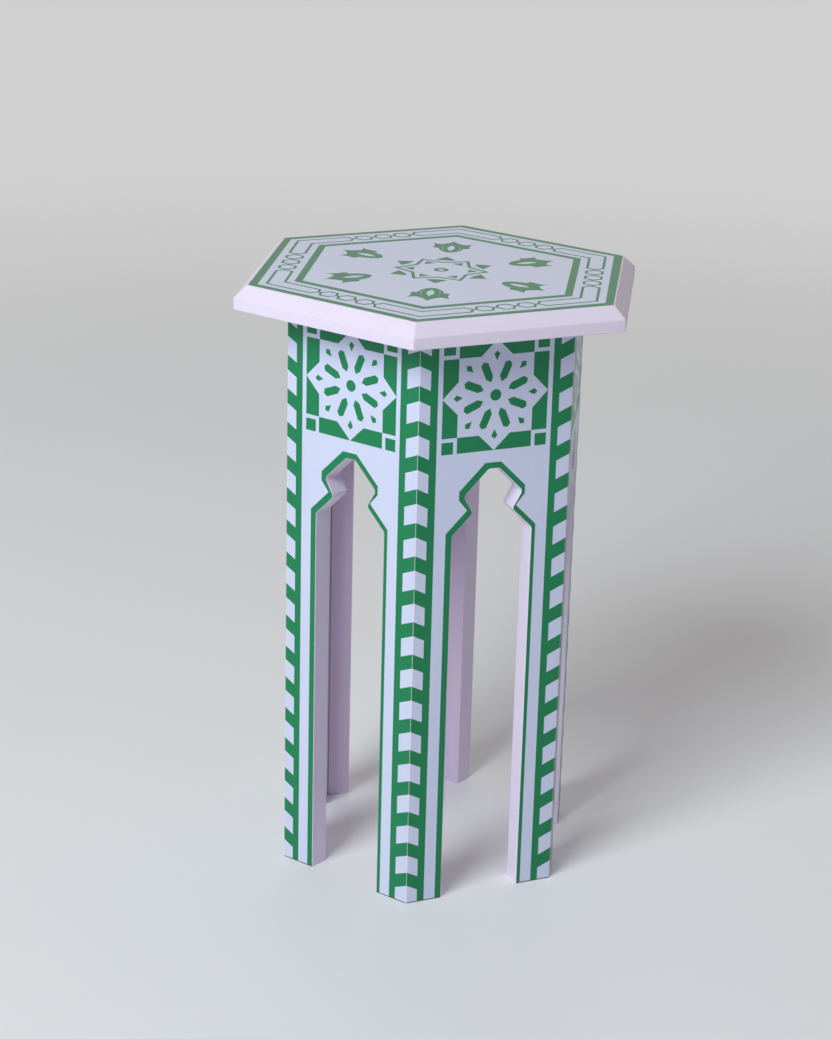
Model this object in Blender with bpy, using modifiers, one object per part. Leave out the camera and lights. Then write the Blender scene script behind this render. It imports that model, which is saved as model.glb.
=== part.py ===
"""Hexagonal side table: a chamfered top on six mitred side panels, each cut by a keel arch.

Metres, +Z up. The origin is on the floor under the middle of the table. Two corners of the
hexagon lie on the X axis, and panel 1 faces -Y. Numbers run anticlockwise, seen from above.
"""

import math

import bmesh
import bpy
from mathutils import Matrix, Vector
from mathutils.geometry import interpolate_bezier

# The table as a whole
SIDES = 6
TABLE_HEIGHT = 0.500
TOP_ACROSS_CORNERS = 0.350
TOP_THICKNESS = 0.019
TOP_CHAMFER = 0.0096
BODY_ACROSS_CORNERS = 0.260
PANEL_THICKNESS = 0.018

# The arch, from the leg up to the flat at its crown
LEG_WIDTH = 0.0308  # on the outer face, from the mitred corner to the arch
SHOULDER_STEP = 0.0175  # the neck stands in from the leg by this much, at 45 degrees
LOBE_RISE = 0.0125  # from the neck up to the foot of the lobe
LOBE_STEP = 0.0074  # the lobe is wider than the neck by this much on each side
LOBE_RUN = 0.0028  # upright stretch at the lobe's widest
CROWN_FLAT = 0.0088
RAIL_HEIGHT = 0.112  # from the crown to the panel's upper edge
ROUTER_RADIUS = 0.004  # left by the bit in the arch's hollow corners
NECK_RADIUS = 0.003

# Sanded edges
PANEL_EASE = 0.0003
TOP_EASE = 0.0008
ARRIS_FLAT = 0.0010  # width of the flat along each corner of the body

# Joinery
FIT = 0.0003  # gap between pieces that touch
SPLINE_THICKNESS = 0.004
SPLINE_WIDTH = 0.012
SPLINE_FROM_INSIDE = 0.008  # depth of the spline behind the panel's inner face
SPLINE_STOP = 0.030  # the groove stops this far above the floor, so it never shows at the foot
BLOCK_LEG = 0.030  # along each of the two panels that a corner block joins
BLOCK_END = 0.006  # square end of the block, away from the panel
BLOCK_HEIGHT = 0.040
SCREW_DIAMETER = 0.004
SCREW_HEAD_DIAMETER = 0.008
SCREW_HEAD_RIM = 0.0004
SCREW_POINT = 0.006
SCREW_SUNK = 0.0005  # the head sits this deep in the block
SCREW_COVER = 0.009  # wood left in the top above the screw's point

# What follows from them
TURN = math.tau / SIDES
HALF_TURN = TURN / 2
BODY_RADIUS = BODY_ACROSS_CORNERS / 2
PANEL_WIDTH = 2 * BODY_RADIUS * math.sin(HALF_TURN)
APOTHEM = BODY_RADIUS * math.cos(HALF_TURN)
INNER_APOTHEM = APOTHEM - PANEL_THICKNESS
INNER_RADIUS = INNER_APOTHEM / math.cos(HALF_TURN)
PANEL_HEIGHT = TABLE_HEIGHT - TOP_THICKNESS - FIT
BLOCK_BOTTOM = PANEL_HEIGHT - BLOCK_HEIGHT
SCREW_BOTTOM = BLOCK_BOTTOM + SCREW_SUNK
SCREW_LENGTH = TABLE_HEIGHT - SCREW_COVER - SCREW_BOTTOM
ARC_STEPS = 6
ROUND_STEPS = 20
BREAK_OUT = 0.002  # a cutter runs past the face that it opens by this much

for old in list(bpy.data.objects):
    bpy.data.objects.remove(old, do_unlink=True)

parts = bpy.data.collections.new("hexagonal_side_table")
cutters = bpy.data.collections.new("cutters")
for collection in (parts, cutters):
    bpy.context.scene.collection.children.link(collection)

table = bpy.data.objects.new("table", None)
parts.objects.link(table)


def finish(name, colour, roughness, metallic=0.0):
    """A Principled material."""
    material = bpy.data.materials.new(name)
    material.use_nodes = True
    shader = material.node_tree.nodes["Principled BSDF"]
    shader.inputs["Base Color"].default_value = (*colour, 1)
    shader.inputs["Roughness"].default_value = roughness
    shader.inputs["Metallic"].default_value = metallic
    return material


def add_part(name, mesh, material):
    """A piece of the table, carried by the table's origin."""
    piece = bpy.data.objects.new(name, mesh)
    parts.objects.link(piece)
    piece.parent = table
    if not mesh.materials:
        mesh.materials.append(material)
    return piece


def add_cutter(name, mesh):
    """A tool that only shapes other pieces."""
    cutter = bpy.data.objects.new(name, mesh)
    cutters.objects.link(cutter)
    cutter.hide_render = True
    cutter.display_type = "WIRE"
    return cutter


def cut(piece, cutter):
    """Takes the cutter's shape out of a piece."""
    boolean = piece.modifiers.new(cutter.name, "BOOLEAN")
    boolean.operation = "DIFFERENCE"
    boolean.object = cutter


def corner_angle(corner):
    """Direction of a corner of the body. Panel k stands between corners k and k + 1."""
    return corner * TURN - math.pi / 2 - HALF_TURN


def set_at_corner(piece, corner, radius, z):
    """Places a piece made along +X on the line from the table's axis to a corner."""
    angle = corner_angle(corner)
    piece.location = (radius * math.cos(angle), radius * math.sin(angle), z)
    piece.rotation_euler.z = angle


def rounded(corners):
    """The closed outline through corners (x, y, radius), each turned as an arc."""
    points = []
    for i, (x, y, radius) in enumerate(corners):
        corner = Vector((x, y))
        back = Vector(corners[i - 1][:2]) - corner
        ahead = Vector(corners[(i + 1) % len(corners)][:2]) - corner
        turned = math.pi - back.angle(ahead)
        reach = min(radius * math.tan(turned / 2), 0.49 * min(back.length, ahead.length))
        if reach == 0:
            points.append(corner)
            continue
        start = corner + back.normalized() * reach
        end = corner + ahead.normalized() * reach
        handle = 4 / 3 * math.tan(turned / 4) / math.tan(turned / 2)
        points += interpolate_bezier(
            start, start.lerp(corner, handle), end.lerp(corner, handle), end, ARC_STEPS
        )
    return points


def slab(name, outline, thickness, ease=0.0):
    """A flat outline given its thickness about the XY plane, with its rims eased, as a mesh."""
    curve = bpy.data.curves.new(name, "CURVE")
    curve.dimensions = "2D"
    curve.fill_mode = "BOTH"
    curve.extrude = thickness / 2 - ease
    curve.bevel_depth = ease
    curve.bevel_resolution = 0
    curve.offset = -ease
    spline = curve.splines.new("POLY")
    spline.points.add(len(outline) - 1)
    for point, (x, y) in zip(spline.points, (corner[:2] for corner in outline)):
        point.co = (x, y, 0, 1)
    spline.use_cyclic_u = True
    drawn = bpy.data.objects.new(name, curve)
    parts.objects.link(drawn)
    evaluated = drawn.evaluated_get(bpy.context.evaluated_depsgraph_get())
    mesh = bpy.data.meshes.new_from_object(evaluated)
    bpy.data.objects.remove(drawn)
    welded = bmesh.new()
    welded.from_mesh(mesh)
    bmesh.ops.remove_doubles(welded, verts=welded.verts, dist=1e-6)
    welded.to_mesh(mesh)
    welded.free()
    return mesh


def box(name, length, width, height):
    """A box about the origin."""
    mesh = bpy.data.meshes.new(name)
    solid = bmesh.new()
    bmesh.ops.create_cube(solid, size=1)
    bmesh.ops.scale(solid, vec=(length, width, height), verts=solid.verts)
    solid.to_mesh(mesh)
    solid.free()
    return mesh


def add_turning(piece):
    """Turns a profile about the Z axis."""
    turning = piece.modifiers.new("turning", "SCREW")
    turning.steps = ROUND_STEPS
    turning.render_steps = ROUND_STEPS
    turning.use_merge_vertices = True
    turning.merge_threshold = 0.00001


def slice_off(solid, point, normal):
    """Cuts away what lies beyond a plane and closes the cut."""
    whole = solid.verts[:] + solid.edges[:] + solid.faces[:]
    sliced = bmesh.ops.bisect_plane(
        solid, geom=whole, dist=1e-7, plane_co=point, plane_no=normal, clear_outer=True
    )
    rim = [element for element in sliced["geom_cut"] if isinstance(element, bmesh.types.BMEdge)]
    bmesh.ops.holes_fill(solid, edges=rim, sides=0)


def panel_outline():
    """The front of a panel with its arch, still as wide as the board before it is mitred."""
    board = PANEL_WIDTH / 2 + BREAK_OUT
    leg = PANEL_WIDTH / 2 - LEG_WIDTH
    neck = leg - SHOULDER_STEP
    lobe = neck + LOBE_STEP
    crown = CROWN_FLAT / 2
    crown_height = PANEL_HEIGHT - RAIL_HEIGHT
    lobe_top = crown_height - (lobe - crown)
    lobe_foot = lobe_top - LOBE_RUN
    neck_height = lobe_foot - LOBE_RISE
    right = [
        (board, PANEL_HEIGHT, 0),
        (board, 0, 0),
        (leg, 0, 0),
        (leg, neck_height - SHOULDER_STEP, ROUTER_RADIUS),
        (neck, neck_height, NECK_RADIUS),
        (lobe, lobe_foot, ROUTER_RADIUS),
        (lobe, lobe_top, ROUTER_RADIUS),
        (crown, crown_height, ROUTER_RADIUS),
    ]
    left = [(-x, y, radius) for x, y, radius in reversed(right)]
    return rounded(right + left)


def panel_mesh():
    """Panel 1: the cut board stood up, mitred at both edges, its outer arrises sanded flat."""
    mesh = slab("side_panel", panel_outline(), PANEL_THICKNESS, PANEL_EASE)
    mesh.transform(Matrix.Rotation(math.pi / 2, 4, "X"))
    mesh.transform(Matrix.Translation((0, PANEL_THICKNESS / 2 - APOTHEM, 0)))
    sanded_depth = ARRIS_FLAT / 2 * math.tan(HALF_TURN)
    board = bmesh.new()
    board.from_mesh(mesh)
    for corner, outward in ((0, -1), (1, 1)):
        angle = corner_angle(corner)
        along = Vector((math.cos(angle), math.sin(angle), 0))
        across = Vector((-along.y, along.x, 0)) * outward
        slice_off(board, -across * FIT / 2, across)
        slice_off(board, along * (BODY_RADIUS - sanded_depth), along)
    bmesh.ops.recalc_face_normals(board, faces=board.faces)
    board.to_mesh(mesh)
    board.free()
    return mesh


def block_outline():
    """A corner block from above, its nose in the body's inner corner at the origin."""
    along = Vector((-math.sin(HALF_TURN), math.cos(HALF_TURN)))
    away = Vector((-along.y, along.x))
    nose = Vector((-FIT / math.cos(HALF_TURN), 0))
    end = nose + along * BLOCK_LEG
    back = end + away * BLOCK_END
    return [nose, end, back, Vector((back.x, -back.y)), Vector((end.x, -end.y))]


def screw_profile(name, grown=0.0, below=0.0):
    """Half the outline of a countersunk screw with its point up, or of the hole that it needs."""
    shank = SCREW_DIAMETER / 2 + grown
    head = SCREW_HEAD_DIAMETER / 2 + grown
    rim = SCREW_HEAD_RIM + grown
    outline = [
        (0, SCREW_LENGTH + grown),
        (shank, SCREW_LENGTH - SCREW_POINT + grown),
        (shank, rim + head - shank),
        (head, rim),
        (head, -below),
        (0, -below),
    ]
    mesh = bpy.data.meshes.new(name)
    mesh.from_pydata([(x, 0, z) for x, z in outline], [(i, i + 1) for i in range(len(outline) - 1)], [])
    return mesh


def top_mesh():
    """The top board, its upper edge chamfered."""
    mesh = bpy.data.meshes.new("top_board")
    radius = TOP_ACROSS_CORNERS / 2
    board = bmesh.new()
    bmesh.ops.create_cone(
        board, cap_ends=True, segments=SIDES, radius1=radius, radius2=radius, depth=TOP_THICKNESS
    )
    first_corner = Matrix.Rotation(corner_angle(0) - math.pi / 2, 3, "Z")
    bmesh.ops.rotate(board, cent=(0, 0, 0), matrix=first_corner, verts=board.verts)
    upper_edges = [edge for edge in board.edges if all(vert.co.z > 0 for vert in edge.verts)]
    bmesh.ops.bevel(
        board, geom=upper_edges, offset=TOP_CHAMFER, offset_type="OFFSET", segments=1, affect="EDGES"
    )
    board.to_mesh(mesh)
    board.free()
    return mesh


lilac_paint = finish("lilac_paint", (0.66, 0.62, 0.76), 0.45)
bare_plywood = finish("bare_plywood", (0.58, 0.42, 0.25), 0.7)
bare_beech = finish("bare_beech", (0.60, 0.40, 0.24), 0.6)
zinc_plate = finish("zinc_plate", (0.62, 0.62, 0.60), 0.35, 1.0)

# Each corner has a spline in its mitre and, at its top, a block with one screw up into the top
spline_length = PANEL_HEIGHT - SPLINE_STOP - FIT
spline_radius = INNER_RADIUS + SPLINE_FROM_INSIDE / math.cos(HALF_TURN)
spline_shape = box("corner_spline", SPLINE_THICKNESS, SPLINE_WIDTH, spline_length)
groove_length = PANEL_HEIGHT + BREAK_OUT - SPLINE_STOP
groove_shape = box("spline_groove", SPLINE_THICKNESS + 2 * FIT, SPLINE_WIDTH + 2 * FIT, groove_length)
block_shape = slab("corner_block", block_outline(), BLOCK_HEIGHT)
block_depth = -block_outline()[2].x
screw_radius = INNER_RADIUS - block_depth / 2
screw_shape = screw_profile("top_screw")
screw_hole_shape = screw_profile("screw_hole", FIT, BREAK_OUT)

grooves = []
screw_holes = []
for corner in range(SIDES):
    number = corner + 1
    spline = add_part(f"corner_spline_{number}", spline_shape, bare_plywood)
    set_at_corner(spline, corner, spline_radius, PANEL_HEIGHT - spline_length / 2)
    groove = add_cutter(f"spline_groove_{number}", groove_shape)
    set_at_corner(groove, corner, spline_radius, SPLINE_STOP + groove_length / 2)
    grooves.append(groove)

    screw = add_part(f"top_screw_{number}", screw_shape, zinc_plate)
    add_turning(screw)
    set_at_corner(screw, corner, screw_radius, SCREW_BOTTOM)
    screw_hole = add_cutter(f"screw_hole_{number}", screw_hole_shape)
    add_turning(screw_hole)
    set_at_corner(screw_hole, corner, screw_radius, SCREW_BOTTOM)
    screw_holes.append(screw_hole)

    block = add_part(f"corner_block_{number}", block_shape, bare_beech)
    set_at_corner(block, corner, INNER_RADIUS, PANEL_HEIGHT - BLOCK_HEIGHT / 2)
    cut(block, screw_hole)

# The six panels are one shape turned about the table's axis
panel_shape = panel_mesh()
for side in range(SIDES):
    panel = add_part(f"side_panel_{side + 1}", panel_shape, lilac_paint)
    panel.rotation_euler.z = side * TURN
    cut(panel, grooves[side])
    cut(panel, grooves[(side + 1) % SIDES])

# The top lies on the panels and blocks, and takes the points of the screws
top_board = add_part("top_board", top_mesh(), lilac_paint)
top_board.location.z = TABLE_HEIGHT - TOP_THICKNESS / 2
easing = top_board.modifiers.new("sanded edges", "BEVEL")
easing.width = TOP_EASE
easing.segments = 2
for screw_hole in screw_holes:
    cut(top_board, screw_hole)
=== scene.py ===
import math
import bpy
from mathutils import Matrix, Vector
from mathutils.geometry import interpolate_bezier


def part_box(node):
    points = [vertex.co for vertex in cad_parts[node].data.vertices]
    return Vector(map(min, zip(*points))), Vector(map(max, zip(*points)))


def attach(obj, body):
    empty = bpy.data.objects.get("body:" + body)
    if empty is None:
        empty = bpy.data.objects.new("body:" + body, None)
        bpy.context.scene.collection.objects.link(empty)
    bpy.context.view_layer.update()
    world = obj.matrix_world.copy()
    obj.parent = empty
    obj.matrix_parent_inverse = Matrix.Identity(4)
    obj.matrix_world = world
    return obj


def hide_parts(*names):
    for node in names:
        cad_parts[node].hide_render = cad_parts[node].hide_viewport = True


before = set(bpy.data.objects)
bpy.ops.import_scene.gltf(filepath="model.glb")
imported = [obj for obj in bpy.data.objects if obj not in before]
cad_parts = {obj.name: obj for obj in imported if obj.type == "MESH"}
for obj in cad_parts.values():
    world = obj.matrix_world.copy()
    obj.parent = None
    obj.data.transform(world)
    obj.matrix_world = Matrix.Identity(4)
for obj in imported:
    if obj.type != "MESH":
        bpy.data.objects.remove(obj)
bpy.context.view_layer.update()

# The six side panels: boards with a lobed keel arch sawn out of each and both long edges mitred.
# They are rolled with a satin lilac. Inside the body and on faces that look down the lilac is darker and
# more purple, as painted shade, and a darker line is painted down each inner corner as shade in the
# crease.
# The outer face alone has a cooler lilac flooded over it, and a dark line along its foot is painted
# as contact shadow where it meets the floor.
SIDES = 6
TURN = math.tau / SIDES
FACE_LILAC = (0.612, 0.660, 0.868, 1)
EDGE_LILAC = (0.765, 0.695, 0.860, 1)
# The darker, more purple lilac painted inside the body and under things as shade.
SHADED_INSIDE_LILAC = (0.700, 0.600, 0.780, 1)
FACE_SLACK = 0.0005
INSIDE_REACH = -0.06
FACING_DOWN = -0.9
# How dark the painted shade down the inner corners is, as a share of the inside lilac.
JOINT_SHADE = 0.40
JOINT_LINE = 0.0009
PAINTED_CONTACT_SHADOW = (0.050, 0.045, 0.052, 1)
CONTACT_SHADOW_HEIGHT = 0.0011
PAINT_ROUGHNESS = 0.34
PAINT_CLOUDS = 9
PAINT_STIPPLE = 1300
PORE_DEPTH = 0.000006
STIPPLE_DEPTH = 0.000002
UPRIGHT_GRAIN = (900, 900, 3)
panel_apothem = -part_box("side_panel_1")[0].y
panel_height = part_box("side_panel_1")[1].z
inner_apothem = -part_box("side_panel_1")[1].y
joint_reach = math.hypot(inner_apothem, inner_apothem * math.tan(TURN / 2) - JOINT_LINE)


class Wire:
    """A socket in a material. Arithmetic on wires adds Math nodes, and node() adds any other."""

    def __init__(self, tree, socket=None):
        self.tree = tree
        self.socket = socket

    def node(self, kind, sockets, output=0, **settings):
        made = self.tree.nodes.new("ShaderNode" + kind)
        for setting, value in settings.items():
            setattr(made, setting, value)
        for name, value in sockets.items():
            if isinstance(value, Wire):
                self.tree.links.new(value.socket, made.inputs[name])
            else:
                made.inputs[name].default_value = value
        return Wire(self.tree, made.outputs[output])

    def math(self, operation, *values):
        return self.node("Math", dict(enumerate(values)), operation=operation)

    def __add__(self, other):
        return self.math("ADD", self, other)

    def __radd__(self, other):
        return self.math("ADD", other, self)

    def __sub__(self, other):
        return self.math("SUBTRACT", self, other)

    def __rsub__(self, other):
        return self.math("SUBTRACT", other, self)

    def __mul__(self, other):
        return self.math("MULTIPLY", self, other)

    def __rmul__(self, other):
        return self.math("MULTIPLY", other, self)

    def mix(self, first, second):
        """The first colour where this wire is 0 and the second where it is 1."""
        return self.node("Mix", {0: self, 6: first, 7: second}, 2, data_type="RGBA")

    def into(self, socket):
        self.tree.links.new(self.socket, socket)


def new_finish(name):
    """A material, its Principled shader, and a wire that adds nodes to it."""
    material = bpy.data.materials.new(name)
    material.use_nodes = True
    tree = material.node_tree
    return material, tree.nodes["Principled BSDF"], Wire(tree)


def shaded(colour, share):
    """A colour made darker or lighter by a share of itself."""
    return tuple(channel * share for channel in colour[:3]) + (1,)


def uneven(tone, colour, share):
    """A colour that drifts with a tone, from darker to lighter by a share of itself."""
    return tone.mix(shaded(colour, 1 - share), shaded(colour, 1 + share))


def noise(wire, place, scale, detail=2.0):
    """Cloudy noise about 0.5, at a scale in lumps per metre."""
    return wire.node("TexNoise", {"Vector": place, "Scale": scale, "Detail": detail})


def stretched(wire, place, scale):
    """Coordinates squeezed by three factors, so that noise on them runs as grain."""
    return wire.node("Mapping", {"Vector": place, "Scale": scale})


def painted_board(name, face_distance, grain):
    """Lilac paint over wood: the printed face lies at a distance from the frame's origin."""
    material, shader, wire = new_finish(name)
    place = wire.node("TexCoord", {}, "Object")
    normal = wire.node("TexCoord", {}, "Normal")
    along_normal = wire.node("VectorMath", {0: normal, 1: place}, "Value", operation="DOT_PRODUCT")
    face = along_normal.math("COMPARE", along_normal, face_distance, FACE_SLACK)
    level = wire.node("VectorMath", {0: normal, 1: (1, 1, 0)}, operation="MULTIPLY")
    outward = wire.node("VectorMath", {0: level, 1: place}, "Value", operation="DOT_PRODUCT")
    inside = outward.math("LESS_THAN", outward, INSIDE_REACH)
    tilt = wire.node("SeparateXYZ", {0: normal}, "Z")
    hidden = inside.math("MAXIMUM", inside, tilt.math("LESS_THAN", tilt, FACING_DOWN))
    level_place = wire.node("VectorMath", {0: place, 1: (1, 1, 0)}, operation="MULTIPLY")
    from_axis = wire.node("VectorMath", {0: level_place}, "Value", operation="LENGTH")
    # Painted shade: a darker line down each inner corner, where two boards meet, stands in for the shade
    # in the crease.
    painted_corner_shade = inside * from_axis.math("GREATER_THAN", from_axis, joint_reach)
    above_floor = wire.node("SeparateXYZ", {0: place}, "Z")
    # Painted contact shadow: a dark line along the foot of the outer face, where the board meets the
    # floor.
    contact_shadow_mask = face * above_floor.math("LESS_THAN", above_floor, CONTACT_SHADOW_HEIGHT)

    cloud = noise(wire, place, PAINT_CLOUDS, 3)
    pores = noise(wire, stretched(wire, place, grain), 1, 3)
    stipple = noise(wire, place, PAINT_STIPPLE, 1)
    tone = cloud * 0.5 + pores * 0.5
    flooded = contact_shadow_mask.mix(uneven(tone, FACE_LILAC, 0.06), PAINTED_CONTACT_SHADOW)
    first_coat = uneven(tone, EDGE_LILAC, 0.08)
    # Painted shade: faces inside the body and faces that look down take a darker, more purple lilac.
    inside_painted_shade = painted_corner_shade.mix(uneven(tone, SHADED_INSIDE_LILAC, 0.08), shaded(SHADED_INSIDE_LILAC, JOINT_SHADE))
    face.mix(hidden.mix(first_coat, inside_painted_shade), flooded).into(shader.inputs["Base Color"])
    roughness = PAINT_ROUGHNESS + 0.12 * (cloud - 0.5) + 0.10 * (pores - 0.5) + 0.08 * (1 - face)
    roughness.into(shader.inputs["Roughness"])
    height = pores * PORE_DEPTH + stipple * STIPPLE_DEPTH
    wire.node("Bump", {"Height": height, "Distance": 1.0}).into(shader.inputs["Normal"])
    return material


def dress(piece, material):
    """Gives a piece this material alone."""
    piece.data.materials.clear()
    piece.data.materials.append(material)


panel_paint = painted_board("panel_paint", panel_apothem, UPRIGHT_GRAIN)
for number in range(1, SIDES + 1):
    dress(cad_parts[f"side_panel_{number}"], panel_paint)

# The seam at each corner: where two mitres meet, glue and filler stand in the joint and are sanded
# and painted over with the boards. It shows outside as a thin pale line down the corner.
SEAM_WIDTH = 0.00036
SEAM_DEPTH = 0.003
SEAM_CROWN = 0.00004
SEAM_END = 0.0004
ARRIS_FLAT = 0.0010
SQUARE_ON = 0.9
body_radius = panel_apothem / math.cos(TURN / 2)
arris_radius = body_radius - ARRIS_FLAT / 2 * math.tan(TURN / 2)
inner_radius = inner_apothem / math.cos(TURN / 2)


def pick(*pieces):
    """Selects these pieces alone, with the last one active."""
    bpy.ops.object.select_all(action="DESELECT")
    for piece in pieces:
        piece.select_set(True)
    bpy.context.view_layer.objects.active = pieces[-1]


def edit(piece, chosen=None):
    """Opens a piece for editing with the faces selected that chosen picks by centre and normal."""
    pick(piece)
    bpy.ops.object.mode_set(mode="EDIT")
    bpy.ops.mesh.select_mode(type="FACE")
    bpy.ops.mesh.select_all(action="SELECT" if chosen is None else "DESELECT")
    if chosen:
        bpy.ops.object.mode_set(mode="OBJECT")
        for face in piece.data.polygons:
            face.select = chosen(face.center, face.normal)
        bpy.ops.object.mode_set(mode="EDIT")


def close_edit():
    """Goes back to whole pieces."""
    bpy.ops.object.mode_set(mode="OBJECT")


def copy_turned(piece, name, angle):
    """A copy with its own mesh, turned about the table's axis."""
    copy = piece.copy()
    copy.data = piece.data.copy()
    copy.name = name
    copy.data.name = name
    bpy.context.collection.objects.link(copy)
    copy.data.transform(Matrix.Rotation(angle, 4, "Z"))
    return copy


def seam_strip(outer, crown):
    """A strip of filler along +X that ends at a radius, its outer face drawn out to a low ridge."""
    bpy.ops.object.select_all(action="DESELECT")
    bpy.ops.mesh.primitive_cube_add(size=1, location=(outer - SEAM_DEPTH / 2, 0, panel_height / 2))
    strip = bpy.context.object
    strip.scale = (SEAM_DEPTH, SEAM_WIDTH, panel_height - 2 * SEAM_END)
    bpy.ops.object.transform_apply(location=True, scale=True)
    towards = math.copysign(1, crown)
    edit(strip, lambda centre, normal: normal.x * towards > SQUARE_ON)
    bpy.ops.mesh.inset(thickness=SEAM_WIDTH / 4, depth=0)
    bpy.ops.transform.translate(value=(crown, 0, 0))
    close_edit()
    return strip


outer_strip = seam_strip(arris_radius, SEAM_CROWN)
# Inside, this strip takes the darker line that is painted as shade down the inner corner.
inner_strip = seam_strip(inner_radius + SEAM_DEPTH, -SEAM_CROWN)
pick(inner_strip, outer_strip)
bpy.ops.object.join()
first_seam = bpy.context.object
first_seam.name = "mitre_seam_1"
first_seam.data.transform(Matrix.Rotation(-math.pi / 2 - TURN / 2, 4, "Z"))
seams = [first_seam]
for number in range(2, SIDES + 1):
    seams.append(copy_turned(first_seam, f"mitre_seam_{number}", (number - 1) * TURN))
for seam in seams:
    dress(seam, panel_paint)
    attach(seam, "root")

# The loose splines: plywood tongues glued into grooves in the mitres, which line the corners up.
# Their layers run through their thickness, which points away from the table's axis.
PLY_LAYER = 0.0013
LIGHT_PLY = (0.62, 0.46, 0.29, 1)
DARK_PLY = (0.43, 0.28, 0.15, 1)
PLY_GRAIN = (900, 900, 40)
PLY_RELIEF = 0.00003

plywood, ply_shader, wire = new_finish("bare_plywood")
place = wire.node("TexCoord", {}, "Object")
level = wire.node("VectorMath", {0: place, 1: (1, 1, 0)}, operation="MULTIPLY")
from_axis = wire.node("VectorMath", {0: level}, "Value", operation="LENGTH")
layer = from_axis.math("PINGPONG", from_axis, PLY_LAYER)
dark_layer = layer.math("GREATER_THAN", layer, PLY_LAYER / 2)
fibre = noise(wire, stretched(wire, place, PLY_GRAIN), 1, 4)
layer_tone = 0.55 * dark_layer + 0.45 * fibre
layer_tone.mix(LIGHT_PLY, DARK_PLY).into(ply_shader.inputs["Base Color"])
(0.62 + 0.2 * fibre).into(ply_shader.inputs["Roughness"])
wire.node("Bump", {"Height": fibre * PLY_RELIEF, "Distance": 1.0}).into(ply_shader.inputs["Normal"])
for number in range(1, SIDES + 1):
    dress(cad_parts[f"corner_spline_{number}"], plywood)

# The corner blocks: short lengths of planed beech glued into the inner corners under the top, left
# bare. They stiffen the body, and each is bored and countersunk for the screw that holds the top.
LIGHT_BEECH = (0.66, 0.46, 0.30, 1)
DARK_BEECH = (0.47, 0.29, 0.16, 1)
FLECK_BEECH = (0.40, 0.22, 0.11, 1)
RING_SQUEEZE = (1, 1, 0.08)
RING_SCALE = 60
BEECH_GRAIN = (1200, 1200, 60)
FLECK_GRAIN = (900, 900, 160)
FLECK_CUT = 0.66
BEECH_RELIEF = 0.00002

beech, beech_shader, wire = new_finish("bare_beech")
place = wire.node("TexCoord", {}, "Object")
rings = wire.node(
    "TexWave",
    {"Vector": stretched(wire, place, RING_SQUEEZE), "Scale": RING_SCALE, "Distortion": 5, "Detail": 2},
    "Fac",
    wave_type="RINGS",
    rings_direction="Z",
)
fibre = noise(wire, stretched(wire, place, BEECH_GRAIN), 1, 3)
fleck = noise(wire, stretched(wire, place, FLECK_GRAIN), 1, 1)
is_fleck = fleck.math("GREATER_THAN", fleck, FLECK_CUT)
plank = (0.6 * rings + 0.4 * fibre).mix(LIGHT_BEECH, DARK_BEECH)
(0.7 * is_fleck).mix(plank, FLECK_BEECH).into(beech_shader.inputs["Base Color"])
(0.5 + 0.2 * fibre).into(beech_shader.inputs["Roughness"])
wire.node("Bump", {"Height": fibre * BEECH_RELIEF, "Distance": 1.0}).into(beech_shader.inputs["Normal"])
for number in range(1, SIDES + 1):
    dress(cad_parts[f"corner_block_{number}"], beech)

# The top: a hexagonal board, its upper edge chamfered and all its edges sanded round. It has the same
# two coats as the panels, the cooler one on the flat only, and its grain runs from corner to corner.
LENGTHWISE_GRAIN = (3, 900, 900)
top_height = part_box("top_board")[1].z
# Its underside takes the same painted shade as the panels' insides.
dress(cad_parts["top_board"], painted_board("top_paint", top_height, LENGTHWISE_GRAIN))

# The screws: zinc-plated countersunk wood screws, driven up through the blocks into the top. Each has
# a cross recess in its head, a plain neck, and a thread rolled up to its point.
HEAD_RADIUS = 0.004
HEAD_RIM = 0.0004
NECK_RADIUS = 0.0018
ROOT_RADIUS = 0.0014
NECK_LENGTH = 0.014
POINT_LENGTH = 0.006
THREAD_PITCH = 0.0018
THREAD_HEIGHT = 0.0008
RECESS_WIDTH = 0.0011
RECESS_REACH = 0.0048
RECESS_DEPTH = 0.0018
RECESS_TAPER = 0.55
POINT_RADIUS = 0.00007
SCREW_FACETS = 32
THREAD_STEPS = 20
SMOOTH_ANGLE = math.radians(35)
ZINC = (0.60, 0.61, 0.62, 1)
WORN_ZINC = (0.47, 0.47, 0.46, 1)
ZINC_BLOOM = 600

zinc, zinc_shader, wire = new_finish("zinc_plate")
place = wire.node("TexCoord", {}, "Object")
bloom = noise(wire, place, ZINC_BLOOM, 4)
bloom.mix(ZINC, WORN_ZINC).into(zinc_shader.inputs["Base Color"])
(0.22 + 0.3 * bloom).into(zinc_shader.inputs["Roughness"])
zinc_shader.inputs["Metallic"].default_value = 1.0

low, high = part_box("top_screw_1")
screw_length = high.z - low.z


def draw_out(piece, height, rise, radius, new_radius):
    """Extrudes the round face at a height upwards and draws it in or out to a new radius."""
    edit(piece, lambda centre, normal: normal.z > SQUARE_ON and abs(centre.z - height) < 1e-6)
    bpy.ops.mesh.extrude_region_move(TRANSFORM_OT_translate={"value": (0, 0, rise)})
    share = new_radius / radius
    bpy.ops.transform.resize(value=(share, share, 1), center_override=(0, 0, height + rise))
    close_edit()
    return height + rise


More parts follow.
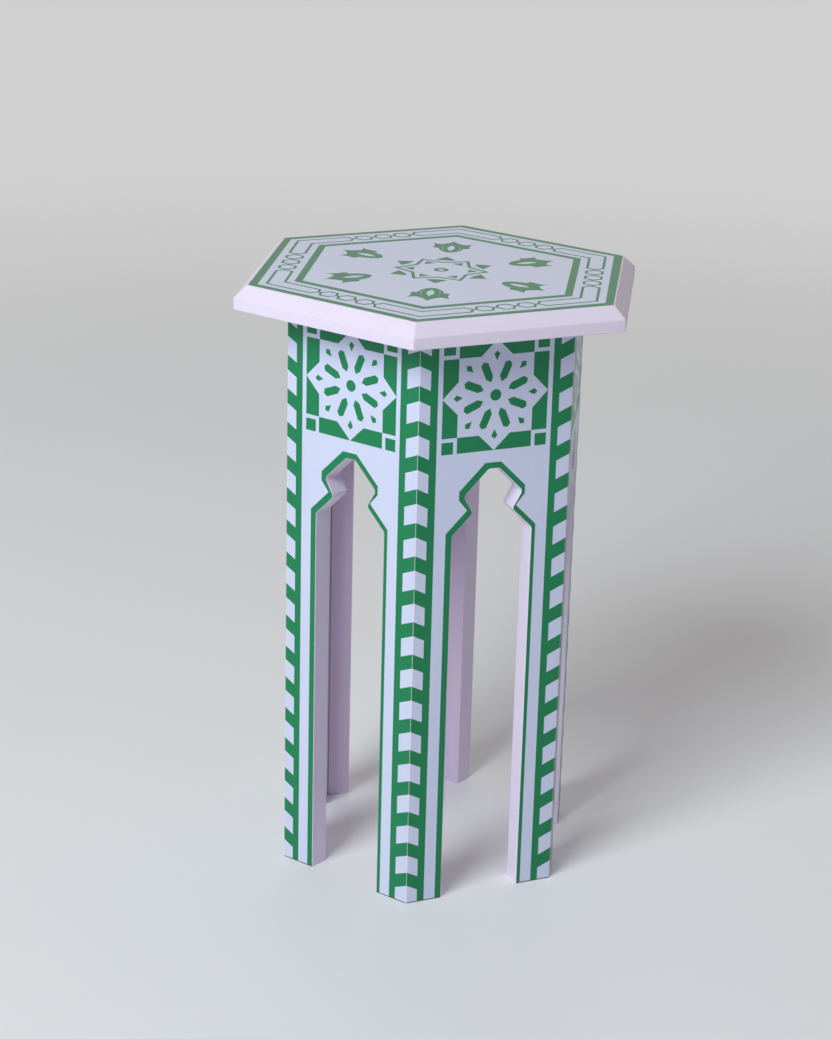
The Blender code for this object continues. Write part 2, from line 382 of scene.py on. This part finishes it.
bpy.ops.object.select_all(action="DESELECT")
bpy.ops.mesh.primitive_cylinder_add(
    vertices=SCREW_FACETS, radius=HEAD_RADIUS, depth=HEAD_RIM, location=(0, 0, HEAD_RIM / 2)
)
first_screw = bpy.context.object
bpy.ops.object.transform_apply(location=True)
height = draw_out(first_screw, HEAD_RIM, HEAD_RADIUS - NECK_RADIUS, HEAD_RADIUS, NECK_RADIUS)
height = draw_out(first_screw, height, NECK_LENGTH - height, NECK_RADIUS, NECK_RADIUS)
height = draw_out(first_screw, height, THREAD_PITCH / 2, NECK_RADIUS, ROOT_RADIUS)
thread_start = height
thread_end = screw_length - POINT_LENGTH
height = draw_out(first_screw, height, thread_end - height, ROOT_RADIUS, ROOT_RADIUS)
draw_out(first_screw, height, POINT_LENGTH, ROOT_RADIUS, POINT_RADIUS)

bpy.ops.object.select_all(action="DESELECT")
bpy.ops.mesh.primitive_circle_add(
    vertices=3, radius=THREAD_HEIGHT, location=(ROOT_RADIUS, 0, thread_start), rotation=(math.pi / 2, 0, 0)
)
thread = bpy.context.object
bpy.ops.object.transform_apply(location=True, rotation=True)
winding = thread.modifiers.new("winding", "SCREW")
winding.screw_offset = THREAD_PITCH
winding.iterations = int((thread_end - thread_start) / THREAD_PITCH)
winding.steps = THREAD_STEPS
winding.render_steps = THREAD_STEPS
bpy.ops.object.modifier_apply(modifier=winding.name)
edit(thread)
bpy.ops.mesh.remove_doubles(threshold=1e-6)
bpy.ops.mesh.fill_holes(sides=0)
bpy.ops.mesh.normals_make_consistent(inside=False)
close_edit()

bpy.ops.object.select_all(action="DESELECT")
arms = []
for angle in (0, math.pi / 2):
    bpy.ops.mesh.primitive_cube_add(size=1, rotation=(0, 0, angle))
    arm = bpy.context.object
    arm.scale = (RECESS_REACH, RECESS_WIDTH, 2 * RECESS_DEPTH)
    bpy.ops.object.transform_apply(rotation=True, scale=True)
    edit(arm, lambda centre, normal: normal.z > SQUARE_ON)
    bpy.ops.transform.resize(value=(RECESS_TAPER, RECESS_TAPER, 1), center_override=(0, 0, RECESS_DEPTH))
    close_edit()
    arms.append(arm)
for arm in arms:
    recess = first_screw.modifiers.new("recess", "BOOLEAN")
    recess.object = arm
    pick(first_screw)
    bpy.ops.object.modifier_apply(modifier=recess.name)
    bpy.data.objects.remove(arm)
pick(thread, first_screw)
bpy.ops.object.join()
bpy.ops.object.shade_smooth_by_angle(angle=SMOOTH_ANGLE)
dress(first_screw, zinc)
for number in range(1, SIDES + 1):
    node = f"top_screw_{number}"
    low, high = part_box(node)
    middle = (low + high) / 2
    screw = copy_turned(first_screw, f"threaded_screw_{number}", number * TURN)
    screw.data.transform(Matrix.Translation((middle.x, middle.y, low.z)))
    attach(screw, "root")
    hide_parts(node)
bpy.data.objects.remove(first_screw)

# The print on the panels: one green, squeezed through a stencil on the flat outer face before the
# boards are joined. A star in a square fills the rail, a border follows the arch, and a band of
# chevrons runs up each mitre. The stencil sat a little to the left of the middle.
MM = 0.001
INK_FILM = 0.10
INK_PROUD = 0.05
INK_GREEN = (0.007, 0.212, 0.081, 1)
# The top's ink is painted darker and greyer than the panels', standing in for how the flat top is lit and
# seen at a glance.
SHADED_TOP_GREEN = (0.010, 0.170, 0.084, 1)
INK_SPREAD = 0.12
INK_GLOSS = 0.28
INK_CLOUDS = 14
INK_STIPPLE = 1500
INK_GRAIN_DEPTH = 0.000008
INK_STIPPLE_DEPTH = 0.000003
STENCIL_SHIFT = -1.00
EDGE_GAP = 0.35
ROUND_STEPS = 8

green_ink, ink_shader, wire = new_finish("green_ink")
place = wire.node("TexCoord", {}, "Object")
cloud = noise(wire, place, INK_CLOUDS, 3)
grain = noise(wire, stretched(wire, place, UPRIGHT_GRAIN), 1, 2)
ink_tone = 0.6 * cloud + 0.4 * grain
above_floor = wire.node("SeparateXYZ", {0: place}, "Z")
on_top = above_floor.math("GREATER_THAN", above_floor, panel_height)
# The same painted contact shadow darkens the ink along the panels' feet.
contact_shadow_mask = above_floor.math("LESS_THAN", above_floor, CONTACT_SHADOW_HEIGHT)
panel_ink_with_contact_shadow = contact_shadow_mask.mix(uneven(ink_tone, INK_GREEN, INK_SPREAD), PAINTED_CONTACT_SHADOW)
# Painted shade: the same ink on the top, made darker for how the top catches the light.
top_ink_painted_darker = uneven(ink_tone, SHADED_TOP_GREEN, INK_SPREAD)
on_top.mix(panel_ink_with_contact_shadow, top_ink_painted_darker).into(ink_shader.inputs["Base Color"])
(PAINT_ROUGHNESS - 0.03 + 0.14 * (ink_tone - 0.5)).into(ink_shader.inputs["Roughness"])
ink_shader.inputs["Specular IOR Level"].default_value = INK_GLOSS
stipple = noise(wire, place, INK_STIPPLE, 1)
height = grain * INK_GRAIN_DEPTH + stipple * INK_STIPPLE_DEPTH
wire.node("Bump", {"Height": height, "Distance": 1.0}).into(ink_shader.inputs["Normal"])


def turned(outline, degrees):
    """An outline turned about the middle of its drawing."""
    turn = Matrix.Rotation(math.radians(degrees), 2)
    return [tuple(turn @ Vector(point)) for point in outline]


def raised(outlines, height):
    """Outlines moved up their drawing."""
    return [[(x, y + height) for x, y in outline] for outline in outlines]


def disc(radius, steps=32):
    """A round outline."""
    angles = [step * math.tau / steps for step in range(steps)]
    return [(radius * math.cos(angle), radius * math.sin(angle)) for angle in angles]


def set_off(path, gap):
    """An open path moved to its left by a gap, with its corners kept sharp."""
    points = [Vector(point) for point in path]
    sides = [(b - a).normalized() for a, b in zip(points, points[1:])]
    lefts = [Vector((-side.y, side.x)) for side in sides]
    moved = [points[0] + lefts[0] * gap]
    for point, before, after in zip(points[1:], lefts, lefts[1:]):
        moved.append(point + (before + after) * gap / (1 + before.dot(after)))
    moved.append(points[-1] + lefts[-1] * gap)
    return moved


def softened(path, radii):
    """An open path with its inner corners turned as arcs of these radii."""
    points = [path[0]]
    for before, corner, after, radius in zip(path, path[1:], path[2:], radii):
        back = before - corner
        ahead = after - corner
        turn = math.pi - back.angle(ahead)
        reach = min(radius * math.tan(turn / 2), 0.49 * min(back.length, ahead.length))
        start = corner + back.normalized() * reach
        end = corner + ahead.normalized() * reach
        handle = 4 / 3 * math.tan(turn / 4) / math.tan(turn / 2)
        points += interpolate_bezier(
            start, start.lerp(corner, handle), end.lerp(corner, handle), end, ROUND_STEPS
        )
    points.append(path[-1])
    return [tuple(point)[:2] for point in points]


def ink_film(name, outlines):
    """The film of ink that closed outlines in millimetres leave, lying on the XY plane."""
    drawing = bpy.data.curves.new(name, "CURVE")
    drawing.dimensions = "2D"
    drawing.fill_mode = "BOTH"
    drawing.extrude = INK_FILM / 2
    for outline in outlines:
        spline = drawing.splines.new("POLY")
        spline.points.add(len(outline) - 1)
        for point, (x, y) in zip(spline.points, outline):
            point.co = (x, y, 0, 1)
        spline.use_cyclic_u = True
    film = bpy.data.objects.new(name, drawing)
    bpy.context.collection.objects.link(film)
    pick(film)
    bpy.ops.object.convert(target="MESH")
    edit(film)
    bpy.ops.mesh.remove_doubles(threshold=1e-3)
    bpy.ops.mesh.normals_make_consistent(inside=False)
    close_edit()
    film.data.transform(Matrix.Scale(MM, 4))
    dress(film, green_ink)
    return film


# The star: eight points in a square, drawn by the green that is left round it
STAR_MIDDLE = 428.3
STAR_TIP = 44.4
STAR_BLOCK = 31.4
STAR_NOTCH = 13.0
STAR_MEET = 0.15
CORNER_SQUARE = (34.6, 44.4)
PETAL = [(11.3, 0), (15.2, 3.2), (26.8, 3.2), (28.9, 0), (26.8, -3.2), (15.2, -3.2)]
KITE = [(35.4, 0), (32.9, 2.6), (27.6, 0), (32.9, -2.6)]
BOSS_RADIUS = 4.6

gusset = [
    (STAR_BLOCK, STAR_BLOCK + STAR_MEET),
    (STAR_NOTCH + STAR_MEET, STAR_BLOCK + STAR_MEET),
    (STAR_MEET, STAR_TIP),
    (STAR_BLOCK, STAR_TIP),
]
gusset_twin = [(-x, y) for x, y in reversed(gusset)]
near, far = CORNER_SQUARE
corner_square = [(near, near), (far, near), (far, far), (near, far)]
star = [disc(BOSS_RADIUS)]
for quarter in range(4):
    star += [turned(outline, 90 * quarter) for outline in (gusset, gusset_twin, corner_square)]
for eighth in range(8):
    star.append(turned(PETAL, 45 * eighth + 22.5))
    star.append(turned(KITE, 45 * eighth))

# The border round the arch: outside it is the stencil's line, inside it stops short of the sawn edge
STENCIL_ARCH = [(38.6, 0.8), (38.6, 318.8), (20.9, 336.5), (28.2, 345.2), (28.2, 352.4), (6.8, 373.8)]
SAWN_ARCH = [(34.2, 0.8), (34.2, 316.2), (16.7, 333.7), (24.1, 346.2), (24.1, 349.0), (4.4, 368.7)]
SAWN_RADII = [4.0, 3.0, 4.0, 4.0, 4.0]

drawn_arch = STENCIL_ARCH + [(-x, y) for x, y in reversed(STENCIL_ARCH)]
sawn_arch = [(-x, y) for x, y in SAWN_ARCH] + list(reversed(SAWN_ARCH))
sawn_line = softened(set_off(sawn_arch, EDGE_GAP), SAWN_RADII + SAWN_RADII[::-1])
border = drawn_arch + [(x - STENCIL_SHIFT, y) for x, y in sawn_line]

# The chevrons: a comb with a straight back and slanted teeth, which meet over the mitre in a V
BAND = (48.4, 54.5)
TOOTH_PITCH = 27.52
FIRST_TOOTH = 16.3
TOOTH_HEIGHT = 12.0
TOOTH_RISE = 4.7
TEETH = 17
COMB_EDGE = 64.45
COMB_ENDS = (0.8, 480.2)


def chevron_comb(edge):
    """The comb up one side of the drawing, its teeth cut off at an edge on the right."""
    back, root = BAND
    foot, head = COMB_ENDS
    comb = [(root, foot), (back, foot), (back, head), (root, head)]
    for tooth in reversed(range(TEETH)):
        lower = FIRST_TOOTH + tooth * TOOTH_PITCH
        upper = lower + TOOTH_HEIGHT
        comb += [(root, upper - TOOTH_RISE), (edge, upper), (edge, lower), (root, lower - TOOTH_RISE)]
    return comb


# The teeth run on over the eased corner and stop short of the seam in it
CORNER_INK = (0.16, 0.52)
CORNER_RISE = 0.15

corner_caps = []
for tooth in range(TEETH):
    lower = FIRST_TOOTH + CORNER_RISE + tooth * TOOTH_PITCH
    upper = lower + TOOTH_HEIGHT
    inner, outer = CORNER_INK
    cap = [(inner, lower), (outer, lower), (outer, upper), (inner, upper)]
    corner_caps += [cap, [(-x, y) for x, y in reversed(cap)]]
corner_print = ink_film("corner_print", corner_caps)
corner_print.data.transform(Matrix.Rotation(math.pi / 2, 4, "X"))
corner_print.data.transform(Matrix.Translation((0, -arris_radius, 0)))
corner_print.data.transform(Matrix.Rotation(-TURN / 2, 4, "Z"))

right_comb = chevron_comb(COMB_EDGE - STENCIL_SHIFT)
left_comb = [(-x, y) for x, y in chevron_comb(COMB_EDGE + STENCIL_SHIFT)]
first_print = ink_film("panel_print_1", raised(star, STAR_MIDDLE) + [border, right_comb, left_comb])
first_print.data.transform(Matrix.Rotation(math.pi / 2, 4, "X"))
film_middle = panel_apothem + (INK_PROUD - INK_FILM / 2) * MM
first_print.data.transform(Matrix.Translation((STENCIL_SHIFT * MM, -film_middle, 0)))
pick(corner_print, first_print)
bpy.ops.object.join()
panel_prints = [first_print]
for number in range(2, SIDES + 1):
    panel_prints.append(copy_turned(first_print, f"panel_print_{number}", (number - 1) * TURN))
for panel_print in panel_prints:
    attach(panel_print, "root")

# The print on the top: the same green through a second stencil. Two hexagonal bands hold a chain of
# loops that meet at their points, and inside them six tulips point to the corners round a star.
OUTER_BAND = (141.1, 134.6)
INNER_BAND = (108.3, 102.4)
CHAIN_MIDDLE = 121.4
CHAIN_REACH = 6.4
CHAIN_PITCH = 17.5
CHAIN_WAIST = 2.2
CHAIN_SLOPE = math.radians(58)
CHAIN_LINE = 2.1
LOOPS = 3
SIDE_ANGLE = 360 / SIDES
TOP_STENCIL_TURN = 0.32
TOP_STENCIL_SHIFT = 0.4


def on_side(side, across, along):
    """A point of the top's drawing, by its distance out from the middle and along one side."""
    return turned([(along, -across)], SIDE_ANGLE * side)[0]


def hexagon(apothem):
    """A hexagon with sides at this distance from the middle."""
    reach = apothem * math.tan(TURN / 2)
    return [on_side(side, apothem, -reach) for side in range(SIDES)]


half_line = CHAIN_LINE / 2
half_pitch = CHAIN_PITCH / 2
half_waist = CHAIN_WAIST / 2
slant_run = CHAIN_REACH / math.tan(CHAIN_SLOPE)
outer_mitre = half_line * math.tan(CHAIN_SLOPE / 2)
inner_point = half_line / math.sin(CHAIN_SLOPE)
last_waist = half_pitch * LOOPS


def chain_edge(sign):
    """The outer or inner edge of the whole chain, as one closed line round the top."""
    rail = CHAIN_REACH + half_line
    flank = half_waist - outer_mitre
    shoulder = half_waist + slant_run - outer_mitre
    steps = [(-last_waist - shoulder, rail), (-last_waist - flank, half_line)]
    for loop in range(LOOPS):
        waist = (loop - LOOPS / 2) * CHAIN_PITCH
        following = waist + CHAIN_PITCH
        steps += [(waist + flank, half_line), (waist + shoulder, rail)]
        steps += [(following - shoulder, rail), (following - flank, half_line)]
    steps += [(last_waist + flank, half_line), (last_waist + shoulder, rail)]
    corner = (CHAIN_MIDDLE + sign * rail) * math.tan(TURN / 2)
    edge = []
    for side in range(SIDES):
        edge += [on_side(side, CHAIN_MIDDLE + sign * across, along) for along, across in steps]
        edge.append(on_side(side, CHAIN_MIDDLE + sign * rail, corner))
    return edge


def chain_openings(side):
    """The openings in the chain along one side: its cells, and the long cell round the next corner."""
    inner = CHAIN_REACH - half_line
    tip = half_waist + inner_point
    shoulder = half_waist + slant_run + outer_mitre
    openings = []
    for loop in range(LOOPS):
        start = (loop - LOOPS / 2) * CHAIN_PITCH
        end = start + CHAIN_PITCH
        over = [(start + shoulder, inner), (end - shoulder, inner)]
        under = [(along, -across) for along, across in reversed(over)]
        cell = [(start + tip, 0)] + over + [(end - tip, 0)] + under
        openings.append([on_side(side, CHAIN_MIDDLE + across, along) for along, across in cell])
    tip += last_waist
    shoulder += last_waist
    outside = CHAIN_MIDDLE + inner
    inside = CHAIN_MIDDLE - inner
    after = side + 1
    openings.append(
        [
            on_side(side, CHAIN_MIDDLE, tip),
            on_side(side, outside, shoulder),
            on_side(side, outside, outside * math.tan(TURN / 2)),
            on_side(after, outside, -shoulder),
            on_side(after, CHAIN_MIDDLE, -tip),
            on_side(after, inside, -shoulder),
            on_side(side, inside, inside * math.tan(TURN / 2)),
            on_side(side, inside, shoulder),
        ]
    )
    return openings


def petal_curve(*handles):
    """Points along one curve of a petal, without its last, which the next curve begins with."""
    points = interpolate_bezier(*[Vector(handle).to_3d() for handle in handles], ROUND_STEPS + 1)
    return [(point.x, point.y) for point in points[:-1]]


def mirrored(half):
    """A closed outline from its right half, which starts and ends on the middle line."""
    return half + [(-x, y) for x, y in reversed(half[1:-1])]


# A tulip that points up its drawing: the flower, the slit in it and the lines beside its middle petal
flower = mirrored(
    petal_curve((0, 60.0), (4.6, 60.4), (10.0, 67.6), (10.2, 75.4))
    + petal_curve((10.2, 75.4), (12.0, 75.0), (14.2, 75.6), (15.4, 77.2))
    + petal_curve((15.4, 77.2), (13.9, 81.7), (14.2, 87.2), (16.8, 92.0))
    + petal_curve((16.8, 92.0), (14.2, 89.8), (11.2, 88.4), (8.7, 88.6))
    + petal_curve((8.7, 88.6), (5.6, 91.8), (2.2, 93.8), (0, 99.8))
    + [(0, 99.8)]
)
slit = mirrored(
    petal_curve((0, 66.0), (1.8, 69.0), (3.1, 72.0), (3.1, 75.4))
    + petal_curve((3.1, 75.4), (3.1, 79.0), (1.8, 82.2), (0, 85.6))
    + [(0, 85.6)]
)
vein = petal_curve((3.6, 63.6), (8.3, 68.4), (8.8, 78.0), (5.6, 87.4)) + petal_curve(
    (5.6, 87.4), (8.2, 78.0), (7.7, 68.7), (3.6, 63.6)
)
vein_twin = [(-x, y) for x, y in vein]

# The star in the middle: a line with six points to the sides, and triangles within and round it
LINE_STAR_TIP = 38.6
LINE_STAR_NOTCH = 26.2
LINE_STAR_WIDTH = 2.6
TIP_TRIANGLE = [(0, 29.6), (5.0, 21.8), (-5.0, 21.8)]
NOTCH_TRIANGLE = [(0, 44.4), (8.5, 33.2), (0, 31.9), (-8.5, 33.2)]
EYE = (6.0, 2.7)


def line_star(tip, notch):
    """A six-pointed star with its points towards the sides."""
    outline = []
    for side in range(SIDES):
        outline += [on_side(side, tip, 0), on_side(side + 0.5, notch, 0)]
    return outline


notch_across = LINE_STAR_NOTCH * math.sin(TURN / 2)
notch_out = LINE_STAR_NOTCH * math.cos(TURN / 2)
point_half_angle = math.atan2(notch_across, LINE_STAR_TIP - notch_out)
tip_inset = LINE_STAR_WIDTH / math.sin(point_half_angle)
notch_inset = LINE_STAR_WIDTH / math.sin(point_half_angle + TURN / 2)
top_outlines = [hexagon(apothem) for apothem in OUTER_BAND + INNER_BAND]
top_outlines += [chain_edge(1), chain_edge(-1)]
top_outlines += [
    line_star(LINE_STAR_TIP, LINE_STAR_NOTCH),
    line_star(LINE_STAR_TIP - tip_inset, LINE_STAR_NOTCH - notch_inset),
]
top_outlines += [disc(radius) for radius in EYE]
for side in range(SIDES):
    top_outlines += chain_openings(side)
    to_corner = SIDE_ANGLE * (side + 0.5)
    at_corner = (flower, slit, vein, vein_twin, NOTCH_TRIANGLE)
    top_outlines += [turned(outline, to_corner) for outline in at_corner]
    top_outlines.append(turned(TIP_TRIANGLE, SIDE_ANGLE * side))

# The stencil lay slightly turned and shifted, and only the band's outer edge follows the board
board_edge, *stencil = top_outlines
stencil = raised([turned(outline, TOP_STENCIL_TURN) for outline in stencil], TOP_STENCIL_SHIFT)
top_print = ink_film("top_print", [board_edge] + stencil)
film_middle = top_height + (INK_PROUD - INK_FILM / 2) * MM
top_print.data.transform(Matrix.Translation((0, 0, film_middle)))
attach(top_print, "root")

# The floor: a wide, pale, painted studio floor that the table stands on and throws its shadow on.
# As seen it is lifted a little towards white, and far from the table it fades into the wall's grey.
FLOOR_HALF = 60.0
FLOOR_GREY = (0.760, 0.790, 0.820, 1)
FLOOR_LIFT = 0.055
FLOOR_CLOUDS = 3.5
WALL_GREY = (0.630, 0.627, 0.630, 1)
FAR_START = 1.07
FAR_END = 2.9

bpy.ops.object.select_all(action="DESELECT")
bpy.ops.mesh.primitive_grid_add(x_subdivisions=8, y_subdivisions=8, size=2 * FLOOR_HALF)
floor = bpy.context.object
floor.name = "studio_floor"
floor_paint, floor_shader, wire = new_finish("floor_paint")
place = wire.node("TexCoord", {}, "Object")
cloud = noise(wire, place, FLOOR_CLOUDS, 5)
uneven(cloud, FLOOR_GREY, 0.03).into(floor_shader.inputs["Base Color"])
(0.42 + 0.2 * cloud).into(floor_shader.inputs["Roughness"])
seen = wire.node("LightPath", {}, "Is Camera Ray") + wire.node("LightPath", {}, "Is Glossy Ray")
seen = seen + wire.node("LightPath", {}, "Is Transmission Ray")
seen.mix((0, 0, 0, 1), shaded(FLOOR_GREY, FLOOR_LIFT)).into(floor_shader.inputs["Emission Color"])
floor_shader.inputs["Emission Strength"].default_value = 1.0
distance = wire.node("VectorMath", {0: place}, "Value", operation="LENGTH")
far_share = wire.node(
    "MapRange",
    {"Value": distance, "From Min": FAR_START, "From Max": FAR_END},
    interpolation_type="SMOOTHSTEP",
)
haze = wire.node("Emission", {"Color": WALL_GREY})
paint_into_haze = wire.node("MixShader", {0: far_share * seen, 2: haze})
floor_paint.node_tree.links.new(floor_shader.outputs["BSDF"], paint_into_haze.socket.node.inputs[1])
paint_into_haze.into(floor_paint.node_tree.nodes["Material Output"].inputs["Surface"])
dress(floor, floor_paint)

# The light: one large soft window to the left of the camera, in a dim room. A pale wall behind the
# table and one on the right throw some of it back, and glossy paint mirrors a room brighter overhead.
WINDOW_BEARING = math.radians(-149)
WINDOW_ELEVATION = math.radians(38)
WINDOW_DISTANCE = 4.5
WINDOW_WIDTH = 2.4
WINDOW_LIGHT = 2.70
WINDOW_COLOUR = (0.955, 1.0, 1.0)
BACK_WALL = (0.52, 0.46, 0.45, 1)
BACK_SIDE = (0.37, 0.89, 0.28)
RIGHT_WALL = (0.23, 0.20, 0.23, 1)
RIGHT_SIDE = (0.62, -0.62, 0.48)
MIRRORED_LOW = (0.26, 0.26, 0.21, 1)
MIRRORED_HIGH = (2.00, 2.00, 1.72, 1)

window_light = bpy.data.lights.new("window_light", "AREA")
window_light.shape = "DISK"
window_light.size = WINDOW_WIDTH
window_light.energy = WINDOW_LIGHT * math.pi * WINDOW_DISTANCE ** 2
window_light.color = WINDOW_COLOUR
window = bpy.data.objects.new("window_light", window_light)
bpy.context.collection.objects.link(window)
to_window = Matrix.Rotation(WINDOW_BEARING, 3, "Z") @ Vector(
    (math.cos(WINDOW_ELEVATION), 0, math.sin(WINDOW_ELEVATION))
)
window.location = Vector((0, 0, top_height / 2)) + to_window * WINDOW_DISTANCE
window.rotation_euler = to_window.to_track_quat("Z", "Y").to_euler()
window.visible_camera = False

world = bpy.data.worlds.new("studio")
bpy.context.scene.world = world
world.use_nodes = True
wire = Wire(world.node_tree)
direction = wire.node("TexCoord", {}, "Generated")
upward = wire.node("SeparateXYZ", {0: direction}, "Z")
upward = upward.math("MAXIMUM", upward, 0)


def wall_light(colour, side):
    """The light that one wall throws, strongest from straight opposite."""
    facing = wire.node("VectorMath", {0: direction, 1: side}, "Value", operation="DOT_PRODUCT")
    return facing.math("MAXIMUM", facing, 0).mix((0, 0, 0, 1), colour)


walls = {0: wall_light(BACK_WALL, BACK_SIDE), 1: wall_light(RIGHT_WALL, RIGHT_SIDE)}
room = wire.node("VectorMath", walls, operation="ADD")
in_gloss = wire.node("LightPath", {}, "Is Glossy Ray")
room = in_gloss.mix(room, upward.mix(MIRRORED_LOW, MIRRORED_HIGH))
seen = wire.node("LightPath", {}, "Is Camera Ray") + wire.node("LightPath", {}, "Is Transmission Ray")
seen.mix(room, WALL_GREY).into(world.node_tree.nodes["Background"].inputs["Color"])

# The camera: a short telephoto just under a metre above the floor, where the photograph was taken
# from. It looks down a little and leans slightly to one side.
LENS = 83.295
SENSOR = 36.0
CAMERA_PLACE = (-0.75688, -1.71405, 0.95979)
CAMERA_HEADING = math.radians(-23.3666)
CAMERA_PITCH = math.radians(-19.7307)
CAMERA_ROLL = math.radians(1.5111)

lens = bpy.data.cameras.new("camera")
lens.lens = LENS
lens.sensor_width = SENSOR
camera = bpy.data.objects.new("camera", lens)
bpy.context.collection.objects.link(camera)
camera.matrix_world = (
    Matrix.Translation(CAMERA_PLACE)
    @ Matrix.Rotation(CAMERA_HEADING, 4, "Z")
    @ Matrix.Rotation(math.pi / 2 + CAMERA_PITCH, 4, "X")
    @ Matrix.Rotation(CAMERA_ROLL, 4, "Z")
)
bpy.context.scene.camera = camera
bpy.context.scene.view_settings.view_transform = "Standard"
